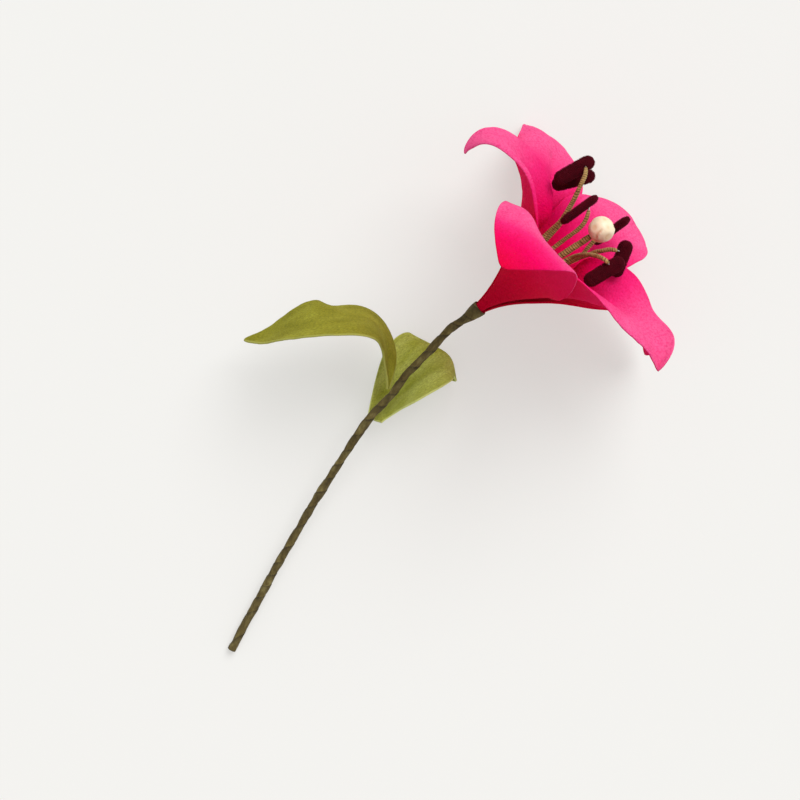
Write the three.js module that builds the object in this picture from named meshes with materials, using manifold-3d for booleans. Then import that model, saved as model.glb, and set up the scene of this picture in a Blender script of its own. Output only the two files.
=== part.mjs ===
import * as THREE from 'three';
import Module from 'manifold-3d';
import { mergeVertices } from 'three/addons/utils/BufferGeometryUtils.js';

// A long-stemmed lily made of cut and formed sheets on a taped wire stem.
// It lies on the backs of its far petals and on the end of its stem.
// Millimetres. The front of the flower looks up, along +Z.

// Sheets
const petalSheet = 1.0;
const leafSheet = 1.2;
const clearance = 0.3;

// Bloom
const bloomBaseHeight = 47;
const bloomTurn = 36;
const bloomTilt = 20;
const petalTang = 3;
const ringStep = petalSheet + clearance + 0.05;

// Stem
const stemRadius = 2.5;
const stemWireRadius = 1.0;
const collarLength = 9;
const collarWall = 0.4;
const wrapRipple = 0.12;
const wrapRipplePitch = 14;

// Stamens and pistil
const filamentRadius = 1.3;
const filamentWireRadius = 0.4;
const threadStart = 18;
const wireStart = 8;
const antherLength = 23;
const antherRadius = 4.1;
const antherFlatness = 0.66;
const antherBluntness = 0.55;
const wireShow = 0.4;
const styleRadius = 1.9;
const styleWireRadius = 0.45;
const pistilReach = 73.5;
const pistilDroop = -4.2;
const pearlRadius = 6.5;
const innerRing = styleWireRadius + clearance + petalSheet / 2 + 0.15;

// Lying down
const settleAxis = new THREE.Vector3(-0.58, -0.82, 0);
const settleAngle = 4;

// Fineness of the facets
const sheetRows = 22;
const sheetHalfColumns = 4;
const stemSides = 12;
const stemPitch = 7;
const threadPitch = 6;
const threadSides = 8;
const wireSides = 6;
const styleSides = 10;
const pearlSides = 14;
const antherSides = 10;
const shortestFacet = 0.5;

const degrees = Math.PI / 180;

const wasm = await Module();
wasm.setup();

const petalPink = new THREE.Color(0.86, 0.05, 0.28);
const leafGreen = new THREE.Color(0.32, 0.34, 0.05);
const stemBrown = new THREE.Color(0.1, 0.07, 0.025);
const threadKhaki = new THREE.Color(0.36, 0.26, 0.11);
const antherMaroon = new THREE.Color(0.1, 0.0, 0.01);
const pearlCream = new THREE.Color(0.86, 0.74, 0.52);
const wireGrey = new THREE.Color(0.5, 0.5, 0.5);

const flower = new THREE.Group();
const lying = new THREE.Group();
flower.add(lying);

function surface(color, roughness, metalness = 0) {
  return new THREE.MeshStandardMaterial({ color, roughness, metalness, side: THREE.DoubleSide });
}

function welded(geometry) {
  const solid = geometry.clone();
  solid.deleteAttribute('normal');
  solid.deleteAttribute('uv');
  return mergeVertices(solid, 1e-4);
}

function addPiece(name, geometry, material) {
  const mesh = new THREE.Mesh(welded(geometry), material);
  mesh.geometry.computeVertexNormals();
  mesh.name = name;
  lying.add(mesh);
}

// The first solid with the second taken out of it
function cutOut(body, tool) {
  const [from, away] = [body, tool].map((geometry) => {
    const solid = welded(geometry);
    return new wasm.Manifold(
      new wasm.Mesh({
        numProp: 3,
        vertProperties: new Float32Array(solid.attributes.position.array),
        triVerts: new Uint32Array(solid.index.array),
      }),
    );
  });
  const mesh = from.subtract(away).getMesh();
  const geometry = new THREE.BufferGeometry();
  geometry.setAttribute('position', new THREE.BufferAttribute(mesh.vertProperties, 3));
  geometry.setIndex(new THREE.BufferAttribute(mesh.triVerts, 1));
  return geometry;
}

// Value of an evenly spaced list at a share of the way along it, by a Catmull-Rom curve
function blend(values, share) {
  const last = values.length - 1;
  const place = THREE.MathUtils.clamp(share, 0, 1) * last;
  const i = Math.min(Math.floor(place), last - 1);
  const f = place - i;
  const b = values[i];
  const c = values[i + 1];
  const a = i === 0 ? 2 * b - c : values[i - 1];
  const d = i === last - 1 ? 2 * c - b : values[i + 2];
  const cubic = 3 * b - a - 3 * c + d;
  const square = 2 * a - 5 * b + 4 * c - d;
  return 0.5 * (2 * b + (c - a) * f + square * f * f + cubic * f * f * f);
}

// Half width of a cut sheet, as a share of its widest half, from its claw to its point
function cutOutline(share, cut) {
  if (share < cut.widest) {
    const rise = Math.sin((Math.PI / 2) * (share / cut.widest)) ** cut.claw;
    return cut.base + (1 - cut.base) * rise;
  }
  const fall = Math.cos((Math.PI / 2) * ((share - cut.widest) / (1 - cut.widest))) ** cut.point;
  return cut.tip + (1 - cut.tip) * fall;
}

// Middle surface of a formed sheet, as rows of points from its claw to its point.
// lean bends it from its own axis, swing turns it sideways, roll twists it, fold
// creases it along the midrib, and near and far curl its two edges. In degrees, at
// even stations. Up to the end of hug.until it wraps round the axis of the flower.
function formedSheet(seat, form) {
  const along = seat.along.clone().normalize();
  const out = seat.out.clone().addScaledVector(along, -seat.out.dot(along)).normalize();
  const across = along.clone().cross(out);
  const middle = seat.origin.clone().addScaledVector(out, seat.ring);
  const step = form.length / sheetRows;
  const rows = [];
  let previous = null;
  if (seat.tang > 0) {
    const foot = middle.clone().addScaledVector(along, -seat.tang);
    rows.push(sheetRow(foot, out, across, 0, form, seat, foot));
  }
  for (let i = 0; i <= sheetRows; i += 1) {
    const share = i / sheetRows;
    const lean = blend(form.lean, share) * degrees;
    const swing = blend(form.swing, share) * degrees;
    const roll = blend(form.roll, share) * degrees;
    const side = out.clone().multiplyScalar(Math.cos(swing)).addScaledVector(across, Math.sin(swing));
    const heading = along.clone().multiplyScalar(Math.cos(lean)).addScaledVector(side, Math.sin(lean));
    const outward = along.clone().multiplyScalar(-Math.sin(lean)).addScaledVector(side, Math.cos(lean));
    const sideways = heading.clone().cross(outward);
    if (previous) {
      middle.addScaledVector(previous.add(heading), step / 2);
    }
    previous = heading;
    const back = outward.clone().multiplyScalar(Math.cos(roll)).addScaledVector(sideways, Math.sin(roll));
    const width = sideways.clone().multiplyScalar(Math.cos(roll)).addScaledVector(outward, -Math.sin(roll));
    rows.push(sheetRow(middle.clone(), back, width, share, form, seat, middle));
  }
  return rows;
}

// One row of a formed sheet, from its far edge over the midrib to its near edge
function sheetRow(middle, back, width, share, form, seat, place) {
  const half = (cutOutline(share, form.cut) * form.width) / 2;
  const fromAxis = place.clone().sub(seat.origin);
  const along = seat.along.clone().normalize();
  fromAxis.addScaledVector(along, -fromAxis.dot(along));
  const radius = Math.max(fromAxis.length(), 0.001);
  const release = (share * form.length - form.hug.until) / form.hug.fade;
  const wrap = 1 - THREE.MathUtils.smoothstep(release, 0, 1);
  const around = (wrap * half) / radius;
  const fold = blend(form.fold, share) * degrees * (1 - wrap);
  const row = [middle];
  for (const sign of [1, -1]) {
    const edge = blend(sign > 0 ? form.near : form.far, share) * degrees;
    let x = 0;
    let y = 0;
    for (let k = 1; k <= sheetHalfColumns; k += 1) {
      const f = (k - 0.5) / sheetHalfColumns;
      const turn = fold * Math.min(1, 4 * f) + (edge + around) * f;
      x += (Math.cos(turn) * half) / sheetHalfColumns;
      y += (Math.sin(turn) * half) / sheetHalfColumns;
      const point = middle.clone().addScaledVector(width, sign * x).addScaledVector(back, -y);
      if (sign > 0) {
        row.push(point);
      } else {
        row.unshift(point);
      }
    }
  }
  return row;
}

// A closed solid of even thickness about a middle surface
function thickened(rows, thickness) {
  const m = rows.length;
  const n = rows[0].length;
  const clampRow = (i) => Math.max(0, Math.min(m - 1, i));
  const clampColumn = (j) => Math.max(0, Math.min(n - 1, j));
  const points = [];
  for (const side of [0.5, -0.5]) {
    for (let i = 0; i < m; i += 1) {
      for (let j = 0; j < n; j += 1) {
        const down = rows[clampRow(i + 1)][j].clone().sub(rows[clampRow(i - 1)][j]);
        const across = rows[i][clampColumn(j + 1)].clone().sub(rows[i][clampColumn(j - 1)]);
        const normal = down.cross(across).normalize();
        points.push(rows[i][j].clone().addScaledVector(normal, side * thickness));
      }
    }
  }
  const at = (side, i, j) => side * m * n + i * n + j;
  const faces = [];
  for (let i = 0; i < m - 1; i += 1) {
    for (let j = 0; j < n - 1; j += 1) {
      faces.push(at(0, i, j), at(0, i + 1, j), at(0, i + 1, j + 1));
      faces.push(at(0, i, j), at(0, i + 1, j + 1), at(0, i, j + 1));
      faces.push(at(1, i, j), at(1, i + 1, j + 1), at(1, i + 1, j));
      faces.push(at(1, i, j), at(1, i, j + 1), at(1, i + 1, j + 1));
    }
  }
  const rim = [];
  for (let i = 0; i < m; i += 1) rim.push([i, 0]);
  for (let j = 1; j < n; j += 1) rim.push([m - 1, j]);
  for (let i = m - 2; i >= 0; i -= 1) rim.push([i, n - 1]);
  for (let j = n - 2; j > 0; j -= 1) rim.push([0, j]);
  rim.forEach(([i, j], k) => {
    const [p, q] = rim[(k + 1) % rim.length];
    faces.push(at(0, i, j), at(1, i, j), at(1, p, q));
    faces.push(at(0, i, j), at(1, p, q), at(0, p, q));
  });
  const geometry = new THREE.BufferGeometry().setFromPoints(points);
  geometry.setIndex(faces);
  return geometry;
}

// A turned solid from a closed profile of [radius, distance], bent along a curve
function turnedAlong(profile, curve, sides) {
  const points = profile.map(([radius, distance]) => new THREE.Vector2(radius, distance));
  const geometry = new THREE.LatheGeometry(points, sides);
  const length = curve.getLength();
  const slices = 200;
  const frames = curve.computeFrenetFrames(slices, false);
  const position = geometry.attributes.position;
  for (let i = 0; i < position.count; i += 1) {
    const share = THREE.MathUtils.clamp(position.getY(i) / length, 0, 1);
    const k = Math.round(share * slices);
    const centre = curve.getPointAt(share);
    centre.addScaledVector(frames.tangents[k], position.getY(i) - share * length);
    centre.addScaledVector(frames.normals[k], position.getX(i));
    centre.addScaledVector(frames.binormals[k], -position.getZ(i));
    position.setXYZ(i, centre.x, centre.y, centre.z);
  }
  return geometry;
}

// Distances along a path, at multiples of the pitch between its two ends
function stations(from, to, pitch) {
  const list = [from];
  for (let i = Math.ceil(from / pitch); i * pitch < to - shortestFacet; i += 1) {
    if (i * pitch > from + shortestFacet) {
      list.push(i * pitch);
    }
  }
  list.push(to);
  return list;
}

// A faceted bore whose flats clear the given radius
function acrossFlats(radius, sides) {
  return radius / Math.cos(Math.PI / sides);
}

function rod(curve, radius, list, sides) {
  const wall = list.map((distance) => [radius, distance]);
  return turnedAlong([[0, list[0]], ...wall, [0, list.at(-1)]], curve, sides);
}

function sleeve(curve, bore, radius, list, sides) {
  const outside = list.map((distance) => [radius, distance]);
  const inside = list.map((distance) => [acrossFlats(bore, sides), distance]).reverse();
  return turnedAlong([...outside, ...inside, outside[0]], curve, sides);
}

// The axis of the bloom, the direction up to its left, and the one towards the front
const turn = bloomTurn * degrees;
const tilt = bloomTilt * degrees;
const axis = new THREE.Vector3(
  Math.cos(tilt) * Math.cos(turn),
  Math.cos(tilt) * Math.sin(turn),
  Math.sin(tilt),
);
const upward = new THREE.Vector3(-Math.sin(turn), Math.cos(turn), 0);
const frontward = axis.clone().cross(upward);
const bloomBase = new THREE.Vector3(0, 0, bloomBaseHeight);

function inBloom(reach, up, front) {
  const point = bloomBase.clone().addScaledVector(axis, reach);
  return point.addScaledVector(upward, up).addScaledVector(frontward, front);
}

// Petals: three in the inner ring and three in the outer, 60 degrees apart or nearly
const innerCut = { base: 0.04, tip: 0.04, widest: 0.6, claw: 1.8, point: 0.85 };
const outerCut = { base: 0.09, tip: 0.04, widest: 0.6, claw: 1.8, point: 0.85 };
const shortHug = { until: 30, fade: 25 };
const longHug = { until: 55, fade: 30 };
const flat = [0, 0];

const petals = [
  {
    name: 'petal_back_curl',
    ring: 'inner',
    azimuth: 24,
    length: 118,
    width: 44,
    lean: [9, 29, 36, 56, 105, 215],
    swing: [0, 0, -12, -5, -8],
    roll: [0, 0, -5, 6, -8],
    fold: [0, 35, 52, 30, 10, 8],
    near: [0, 0, -12, -12, 0],
    far: [0, 0, -4, -8, 0],
  },
  {
    name: 'petal_top',
    ring: 'outer',
    azimuth: -46,
    length: 126,
    width: 48,
    lean: [12, 31, 38, 61, 94, 128],
    swing: flat,
    roll: [0, 5, 15, -12, -17],
    fold: [0, 0, 0, 3, -10, -4],
    near: [0, 0, 12, -28, -30],
    far: [0, 0, 8, 0, 0],
  },
  {
    name: 'petal_far',
    ring: 'inner',
    azimuth: -94,
    length: 115,
    width: 53,
    lean: [9, 29, 36, 44, 73, 106],
    swing: [0, 0, -5, 0, 4],
    roll: [0, 0, -4, -8, -4],
    fold: [0, 0, 0, 6, 0, -12],
    near: flat,
    far: flat,
    hug: longHug,
  },
  {
    name: 'petal_low',
    ring: 'inner',
    azimuth: 156,
    length: 115,
    width: 54,
    lean: [9, 30, 38, 54, 82, 112],
    swing: [0, 0, -5, 9, -5],
    roll: [0, 0, 25, 2, 30],
    fold: [0, 36, 60, 40, 20, 42],
    near: [0, 0, 5, -8, 45],
    far: [0, 0, 0, -35, 0],
  },
  {
    name: 'petal_front_fold',
    ring: 'outer',
    azimuth: 87,
    length: 123,
    width: 53,
    cut: { ...outerCut, widest: 0.54 },
    lean: [12, 32, 41, 67, 106, 130],
    swing: [0, 0, -16, 0, 19],
    roll: [0, 0, 6, 20, 16],
    fold: [0, 0, 0, 0, -11, -9],
    near: [0, -8, 0, -8, -9],
    far: [0, 0, 0, -8, -7],
  },
  {
    name: 'petal_under',
    ring: 'outer',
    azimuth: -149,
    length: 118,
    width: 46,
    lean: [12, 35, 45, 74, 108, 132],
    swing: [0, 0, 7, 16, 15],
    roll: [0, 0, -16, -9, 0],
    fold: flat,
    near: flat,
    far: [0, 0, 12, 7, 0],
  },
];

for (const petal of petals) {
  const inner = petal.ring === 'inner';
  const azimuth = petal.azimuth * degrees;
  const out = upward.clone().multiplyScalar(Math.cos(azimuth)).addScaledVector(frontward, Math.sin(azimuth));
  const seat = {
    origin: bloomBase,
    along: axis,
    out,
    ring: inner ? innerRing : innerRing + ringStep,
    tang: petalTang,
  };
  const form = { hug: shortHug, cut: inner ? innerCut : outerCut, ...petal };
  addPiece(petal.name, thickened(formedSheet(seat, form), petalSheet), surface(petalPink, 0.85));
}

// Stem: a wire in a wound tape that widens to a collar round the claws of the petals
const claws = innerRing + ringStep + petalSheet / 2 + clearance;
const stemPath = new THREE.CatmullRomCurve3(
  [
    inBloom(0, 0, 0),
    inBloom(-10, 0, 0),
    new THREE.Vector3(-14.5, -10.2, bloomBaseHeight - 6.5),
    new THREE.Vector3(-25.5, -21.7, bloomBaseHeight - 11),
    new THREE.Vector3(-37.4, -33.7, bloomBaseHeight - 15.5),
    new THREE.Vector3(-44.5, -43.7, bloomBaseHeight - 19),
    new THREE.Vector3(-55.5, -55, bloomBaseHeight - 23),
    new THREE.Vector3(-70.4, -77, bloomBaseHeight - 29.5),
    new THREE.Vector3(-86, -101.5, bloomBaseHeight - 33.5),
    new THREE.Vector3(-101, -127, bloomBaseHeight - 37.5),
    new THREE.Vector3(-115, -152, bloomBaseHeight - 41),
    new THREE.Vector3(-128, -176.5, bloomBaseHeight - 44),
  ],
  false,
  'centripetal',
);
const stemLength = stemPath.getLength();

function wrapRadius(distance) {
  const flare = 1 - THREE.MathUtils.smoothstep(distance, 0, collarLength * 1.6);
  const ripple = wrapRipple * Math.sin((2 * Math.PI * distance) / wrapRipplePitch);
  return stemRadius + (claws + collarWall - stemRadius) * flare + ripple * (1 - flare);
}

const boreTop = petalTang + clearance;
const stemMarks = stations(boreTop, stemLength, stemPitch);
const wrapOutside = [0, ...stemMarks].map((distance) => [wrapRadius(distance), distance]);
const wireBore = acrossFlats(stemWireRadius + clearance, stemSides);
const wrapInside = stemMarks.map((distance) => [wireBore, distance]).reverse();
const clawBore = acrossFlats(claws, stemSides);
const wrapProfile = [...wrapOutside, ...wrapInside, [clawBore, boreTop], [clawBore, 0], wrapOutside[0]];
addPiece('stem_wrap', turnedAlong(wrapProfile, stemPath, stemSides), surface(stemBrown, 0.9));
addPiece('stem_wire', rod(stemPath, stemWireRadius, stemMarks, threadSides), surface(wireGrey, 0.4, 0.9));

// Leaves, bound to the stem below the bloom
const noHug = { until: -1, fade: 0.5 };

const leaves = [
  {
    name: 'leaf_arching',
    stemPlace: 66,
    away: new THREE.Vector3(-0.75, 0.45, 0.5),
    standOff: 3,
    along: new THREE.Vector3(0.1, 1, 0.2),
    out: new THREE.Vector3(-1, 0, 0),
    cut: { base: 0.2, tip: 0.05, widest: 0.5, claw: 1.3, point: 0.8 },
    length: 110,
    width: 35,
    lean: [0, 13, 76, 98, 124, 92],
    swing: [25, 36, 25, -19, -5],
    roll: [-75, -38, -15, -30, -17],
    fold: [56, 30, 12, 2, 0, 8],
    near: [-20, -50, -19, 6, 15],
    far: [20, -25, -28, 4, 8],
  },
  {
    name: 'leaf_cupped',
    stemPlace: 83,
    away: new THREE.Vector3(0.55, -0.25, -0.8),
    standOff: 2.1,
    along: new THREE.Vector3(0.7, 0.7, 0.1),
    out: new THREE.Vector3(0, 0, -1),
    cut: { base: 0.2, tip: 0.12, widest: 0.6, claw: 1.3, point: 0.42 },
    length: 67,
    width: 44,
    lean: [40, 10, -4, 16, 92, 185],
    swing: [20, 0, -20, -24, -10],
    roll: [-26, -25, -9, -3, -14],
    fold: [22, 31, 27, 10, -15, -13],
    near: [-13, -10, 2, -4, -3],
    far: [2, 8, 6, -16, -16],
  },
];

for (const leaf of leaves) {
  const origin = stemPath.getPointAt(leaf.stemPlace / stemLength);
  origin.addScaledVector(leaf.away.clone().normalize(), stemRadius + leaf.standOff);
  const seat = { origin, along: leaf.along, out: leaf.out, ring: 0, tang: 0 };
  const rows = formedSheet(seat, { ...leaf, hug: noHug });
  addPiece(leaf.name, thickened(rows, leafSheet), surface(leafGreen, 0.9));
}

// Pistil: a wound style on a wire, with a pearl on its end
const pistilPath = new THREE.LineCurve3(inBloom(0, 0, 0), inBloom(pistilReach, pistilDroop, 0));
const pistilLength = pistilPath.getLength();
const styleEnd = pistilLength - pearlRadius - clearance;
const pearlBore = styleWireRadius + clearance;
addPiece(
  'pistil_wire',
  rod(pistilPath, styleWireRadius, [-petalTang, pistilLength], wireSides),
  surface(wireGrey, 0.4, 0.9),
);
addPiece(
  'pistil_thread',
  sleeve(pistilPath, pearlBore, styleRadius, [threadStart, styleEnd], styleSides),
  surface(threadKhaki, 0.9),
);

const pearlProfile = [];
const pearlSteps = 10;
const pearlHole = acrossFlats(pearlBore, pearlSides);
const boreAngle = Math.asin(pearlHole / pearlRadius);
for (let i = 0; i <= pearlSteps; i += 1) {
  const angle = boreAngle + ((Math.PI - boreAngle) * i) / pearlSteps;
  const radius = i === pearlSteps ? 0 : pearlRadius * Math.sin(angle);
  pearlProfile.push([radius, pistilLength - pearlRadius * Math.cos(angle)]);
}
pearlProfile.push([0, pistilLength + clearance]);
pearlProfile.push([pearlHole, pistilLength + clearance]);
pearlProfile.push(pearlProfile[0]);
addPiece('pistil_pearl', turnedAlong(pearlProfile, pistilPath, pearlSides), surface(pearlCream, 0.35));

// Stamens: a wire through a wound thread, with a velvet anther across its end.
// Each route is given as [reach along the axis, up, front] in the bloom.
const bundleRing = styleRadius + filamentRadius + 1.2 * clearance;
const wireRing = styleWireRadius + filamentWireRadius + clearance;
const stamens = [
  {
    bundle: 350,
    route: [
      [34, 6.5, 1],
      [50.5, 10, 1.5],
      [59.5, 11, 1.5],
      [70, 15, 1.5],
      [78, 19, 1.5],
      [83, 22, 0],
      [85, 26.5, -7],
    ],
    lie: new THREE.Vector3(0.87, 0.5, 0),
    broad: new THREE.Vector3(-0.5, 0.87, 0),
    shift: -6.5,
  },
  {
    bundle: 290,
    route: [
      [34, 5, -3.5],
      [49.5, 8.5, -5],
      [57.5, 10.5, -8.5],
      [67, 15, -11.5],
      [73.5, 19, -14],
      [77, 22.5, -15.5],
    ],
    lie: new THREE.Vector3(0.95, 0.25, 0),
    broad: new THREE.Vector3(-0.25, 0.95, 0),
    shift: -4,
  },
  {
    bundle: 50,
    route: [
      [34, 2, 3],
      [52, 2.5, 1.5],
      [61, 2.5, 2.5],
      [65, 2.5, 3],
      [69.5, 3.5, 3.5],
      [73, 5.5, 3],
      [77.5, 10, 1.5],
    ],
    lie: new THREE.Vector3(0.81, 0.59, 0),
    broad: new THREE.Vector3(0, 0, 1),
    shift: -6.5,
  },
  {
    bundle: 110,
    route: [
      [34, -4, 4],
      [53, -6.5, 2],
      [58.5, -8, 6],
      [62.5, -9.5, 11],
      [66.5, -12, 15.5],
      [69.5, -14.5, 19.5],
      [71.5, -18, 21.5],
      [71, -22, 18.5],
    ],
    lie: new THREE.Vector3(0.86, 0.52, 0),
    broad: new THREE.Vector3(-0.5, 0.86, 0),
    shift: -4,
  },
  {
    bundle: 170,
    route: [
      [34, -6, -1],
      [52, -8, -2],
      [59.5, -10, 1.5],
      [66, -11.5, 5],
      [69.5, -13, 7],
      [73, -14.5, 8],
      [75, -16.5, 7.5],
      [77, -19.5, 4.5],
    ],
    lie: new THREE.Vector3(0.36, 0.93, 0.1),
    broad: new THREE.Vector3(1, -0.4, 0),
    shift: -3.5,
  },
  {
    bundle: 230,
    route: [
      [34, -4, -5],
      [49, -8, -7.5],
      [54, -9, -11],
      [59, -7.5, -14],
      [64, -6.5, -16],
      [69, -7, -20],
      [71, -7.5, -27],
    ],
    lie: new THREE.Vector3(0.8, 0.58, 0.2),
    broad: new THREE.Vector3(0, 0, 1),
    shift: 0,
  },
];

function inBundle(reach, ring, angle) {
  const droop = (pistilDroop * reach) / pistilReach;
  return inBloom(reach, droop + ring * Math.cos(angle), ring * Math.sin(angle));
}

// A blunt flattened body across the end of a filament
function anther(centre, direction, thin) {
  const profile = [];
  const steps = 10;
  for (let i = 0; i <= steps; i += 1) {
    const angle = (Math.PI * i) / steps;
    const radius = antherRadius * Math.sin(angle) ** antherBluntness;
    profile.push([i === 0 || i === steps ? 0 : radius, (antherLength * (1 - Math.cos(angle))) / 2]);
  }
  const half = direction.clone().multiplyScalar(antherLength / 2);
  const line = new THREE.LineCurve3(centre.clone().sub(half), centre.clone().add(half));
  const body = turnedAlong(profile, line, antherSides);
  const position = body.attributes.position;
  for (let i = 0; i < position.count; i += 1) {
    const point = new THREE.Vector3().fromBufferAttribute(position, i);
    const height = point.clone().sub(centre).dot(thin);
    point.addScaledVector(thin, height * (antherFlatness - 1));
    position.setXYZ(i, point.x, point.y, point.z);
  }
  return body;
}

stamens.forEach((stamen, index) => {
  const name = `stamen_${index + 1}`;
  const points = [
    inBundle(wireStart, wireRing, stamen.bundle * degrees),
    inBundle(threadStart, bundleRing, stamen.bundle * degrees),
    ...stamen.route.map(([reach, up, front]) => inBloom(reach, up, front)),
  ];
  const path = new THREE.CatmullRomCurve3(points, false, 'centripetal');
  const length = path.getLength();
  const heading = path.getTangentAt(1);
  const lie = stamen.lie.clone().normalize();
  const thin = lie.clone().cross(stamen.broad).normalize();
  const crossing = Math.sin(heading.angleTo(lie));
  const slant = Math.abs(Math.cos(heading.angleTo(lie)));
  const flatness = Math.min(1, Math.abs(heading.dot(thin)) / crossing);
  const depth = antherRadius / Math.hypot(Math.sqrt(1 - flatness ** 2), flatness / antherFlatness);
  const standOff = (depth + 1.5 * clearance + filamentRadius * Math.max(slant, 0.3)) / crossing;
  const threadMarks = stations(points[0].distanceTo(points[1]), length - standOff, threadPitch);
  const wireMarks = [0, ...threadMarks, length, length + depth / crossing + wireShow];
  const bore = filamentWireRadius + clearance;
  addPiece(
    `${name}_wire`,
    rod(path, filamentWireRadius, wireMarks, wireSides),
    surface(wireGrey, 0.4, 0.9),
  );
  addPiece(
    `${name}_thread`,
    sleeve(path, bore, filamentRadius, threadMarks, threadSides),
    surface(threadKhaki, 0.9),
  );
  const centre = path.getPointAt(1).addScaledVector(lie, stamen.shift);
  const drillMarks = [length - standOff, length, length + 3 * antherRadius];
  const drill = rod(path, acrossFlats(bore, wireSides), drillMarks, wireSides);
  addPiece(`${name}_anther`, cutOut(anther(centre, lie, thin), drill), surface(antherMaroon, 0.95));
});

// It is laid down until its backs touch: a far petal, the cupped leaf and the stem's end.
// The middle of its underside then stands at the origin.
lying.quaternion.setFromAxisAngle(settleAxis.normalize(), settleAngle * degrees);
flower.updateMatrixWorld(true);
const extent = new THREE.Box3().setFromObject(flower, true);
const middle = extent.getCenter(new THREE.Vector3());
lying.position.set(-middle.x, -middle.y, -extent.min.z);

export default flower;
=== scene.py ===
import math

import bpy
import numpy as np
from mathutils import Matrix, Quaternion, Vector


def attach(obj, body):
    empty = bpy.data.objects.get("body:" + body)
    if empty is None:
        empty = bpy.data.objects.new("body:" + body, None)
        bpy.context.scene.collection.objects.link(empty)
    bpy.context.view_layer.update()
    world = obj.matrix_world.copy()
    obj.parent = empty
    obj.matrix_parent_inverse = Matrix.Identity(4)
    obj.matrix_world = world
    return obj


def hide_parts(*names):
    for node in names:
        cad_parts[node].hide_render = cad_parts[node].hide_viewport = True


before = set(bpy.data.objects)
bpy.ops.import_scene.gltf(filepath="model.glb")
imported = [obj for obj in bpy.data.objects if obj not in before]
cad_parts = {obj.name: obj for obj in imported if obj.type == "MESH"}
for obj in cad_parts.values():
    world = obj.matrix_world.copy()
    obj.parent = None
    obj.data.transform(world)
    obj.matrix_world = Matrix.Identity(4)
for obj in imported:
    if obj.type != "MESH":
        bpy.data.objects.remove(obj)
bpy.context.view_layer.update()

# Shapes are worked out in millimetres in the flower's own frame, in which its front looks
# straight up, then tipped by SETTLE until it lies at rest, and turned into metres.
MM = 0.001
BASE_HEIGHT = 47.0
TURN = math.radians(36)
TILT = math.radians(20)
SETTLE = Quaternion(Vector((-0.58, -0.82, 0.0)).normalized(), math.radians(4))
LAID_AT = np.array([20.7576, 40.0120, -0.3017])
settle = np.array(SETTLE.to_matrix())

axis = np.array([math.cos(TILT) * math.cos(TURN), math.cos(TILT) * math.sin(TURN), math.sin(TILT)])
upward = np.array([-math.sin(TURN), math.cos(TURN), 0.0])
frontward = np.cross(axis, upward)
bloom_base = np.array([0.0, 0.0, BASE_HEIGHT])


def laid(points):
    """From the flower's frame in millimetres to the shared frame in metres."""
    return (np.asarray(points, float) @ settle.T + LAID_AT) * MM


def in_bloom(reach, up, front):
    return bloom_base + reach * axis + up * upward + front * frontward


def unit(v):
    return v / np.maximum(np.linalg.norm(v, axis=-1, keepdims=True), 1e-12)


def smooth(x):
    x = np.clip(x, 0, 1)
    return x * x * (3 - 2 * x)


def blend(values, share):
    """Catmull-Rom curve through evenly spaced values."""
    v = np.asarray(values, float)
    last = len(v) - 1
    place = np.clip(share, 0, 1) * last
    i = np.minimum(np.floor(place).astype(int), last - 1)
    f = place - i
    ext = np.concatenate([[2 * v[0] - v[1]], v, [2 * v[-1] - v[-2]]])
    a, b, c, d = ext[i], ext[i + 1], ext[i + 2], ext[i + 3]
    square = 2 * a - 5 * b + 4 * c - d
    cubic = 3 * b - a - 3 * c + d
    return 0.5 * (2 * b + (c - a) * f + square * f**2 + cubic * f**3)


def waves(points, seed, size, count=9):
    """Smooth unevenness of about -1 to 1 at points of any dimension, with bumps about size across."""
    r = np.random.default_rng(seed)
    total = np.zeros(points.shape[:-1])
    for _ in range(count):
        way = unit(r.normal(size=points.shape[-1]))
        pace = 2 * math.pi / (size * r.uniform(0.7, 1.9))
        total += np.sin(points @ way * pace + r.uniform(0, 2 * math.pi))
    return total / math.sqrt(count)


# Meshes

def in_scene(name, data):
    obj = bpy.data.objects.new(name, data)
    bpy.context.scene.collection.objects.link(obj)
    return obj


def add_mesh(name, verts, faces, material, node, attributes=None):
    mesh = bpy.data.meshes.new(name)
    mesh.from_pydata(laid(verts).tolist(), [], faces if isinstance(faces, list) else faces.tolist())
    mesh.update()
    for key, values in (attributes or {}).items():
        layer = mesh.attributes.new(key, "FLOAT_VECTOR", "POINT")
        layer.data.foreach_set("vector", np.asarray(values, np.float32).ravel())
    mesh.polygons.foreach_set("use_smooth", [True] * len(mesh.polygons))
    mesh.materials.append(material)
    obj = in_scene(name, mesh)
    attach(obj, "root")
    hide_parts(node)
    return obj


def tube_faces(rows, sides):
    """Quads between the successive rings of a tube."""
    i, j = np.meshgrid(np.arange(rows - 1), np.arange(sides), indexing="ij")
    k = (j + 1) % sides
    corners = [i * sides + j, (i + 1) * sides + j, (i + 1) * sides + k, i * sides + k]
    return np.stack(corners, axis=-1).reshape(-1, 4)


# Formed sheets

def cut_outline(share, cut):
    """Half width as a share of the widest half, from the claw to the point."""
    widest = cut["widest"]
    rise = np.sin(np.pi / 2 * np.clip(share / widest, 0, 1)) ** cut["claw"]
    fall = np.cos(np.pi / 2 * np.clip((share - widest) / (1 - widest), 0, 1)) ** cut["point"]
    return np.where(share < widest, cut["base"] + (1 - cut["base"]) * rise, cut["tip"] + (1 - cut["tip"]) * fall)


# Columns next to a margin, as distances from it, and the spacing of the rest
EDGE = np.array([0, 0.02, 0.07, 0.15, 0.26, 0.4, 0.6, 0.9, 1.3])
HALF_COLUMNS, ROW_PITCH, LEAST = 30, 0.75, 0.02
# How much painted light and shade a petal gets along its length, from its foot to its tip: the throat is painted
# deep, as shade, and the blade pale, as light
PAINTED_LIGHT = [0, 0, 0.1, 0.6, 1.0, 1.0]


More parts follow.
